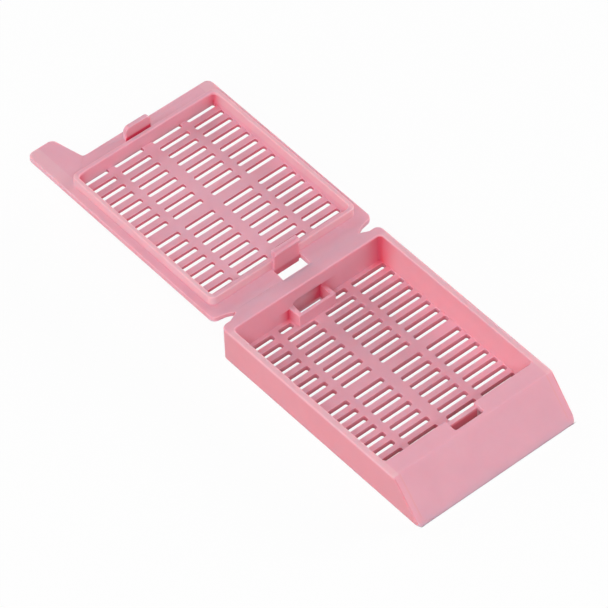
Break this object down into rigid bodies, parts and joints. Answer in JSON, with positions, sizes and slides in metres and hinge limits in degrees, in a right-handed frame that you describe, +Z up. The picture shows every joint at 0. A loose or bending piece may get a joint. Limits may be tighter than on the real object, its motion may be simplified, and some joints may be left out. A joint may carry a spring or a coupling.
{
  "type": "tissue cassette",
  "caption": "Shallow slotted tray with a hinged slotted lid, snap catches, a finger tab and a sloping writing face; holds a tissue sample while liquids flow through it.",
  "frame": {"origin": "on the standing surface, in the middle of the open cassette's box and below the middle of its hinge line", "axes": "+X from the hinge along the tray to its sloping writing face, +Y across the tray, +Z up out of the tray"},
  "size_m": [0.0824, 0.0286, 0.0098],
  "materials": {
    "pink_plastic": "semi-matte moulded plastic, slightly translucent"
  },
  "bodies": {
    "base": {"base": "pink_plastic"},
    "lid": {"lid": "pink_plastic"}
  },
  "joints": [
    {"name": "lid_hinge", "type": "hinge", "parent": "base", "child": "lid", "pos_m": [0, 0, 0.0063], "axis": [0, 1, 0], "range_deg": [-7.5, 179.5]}
  ]
}
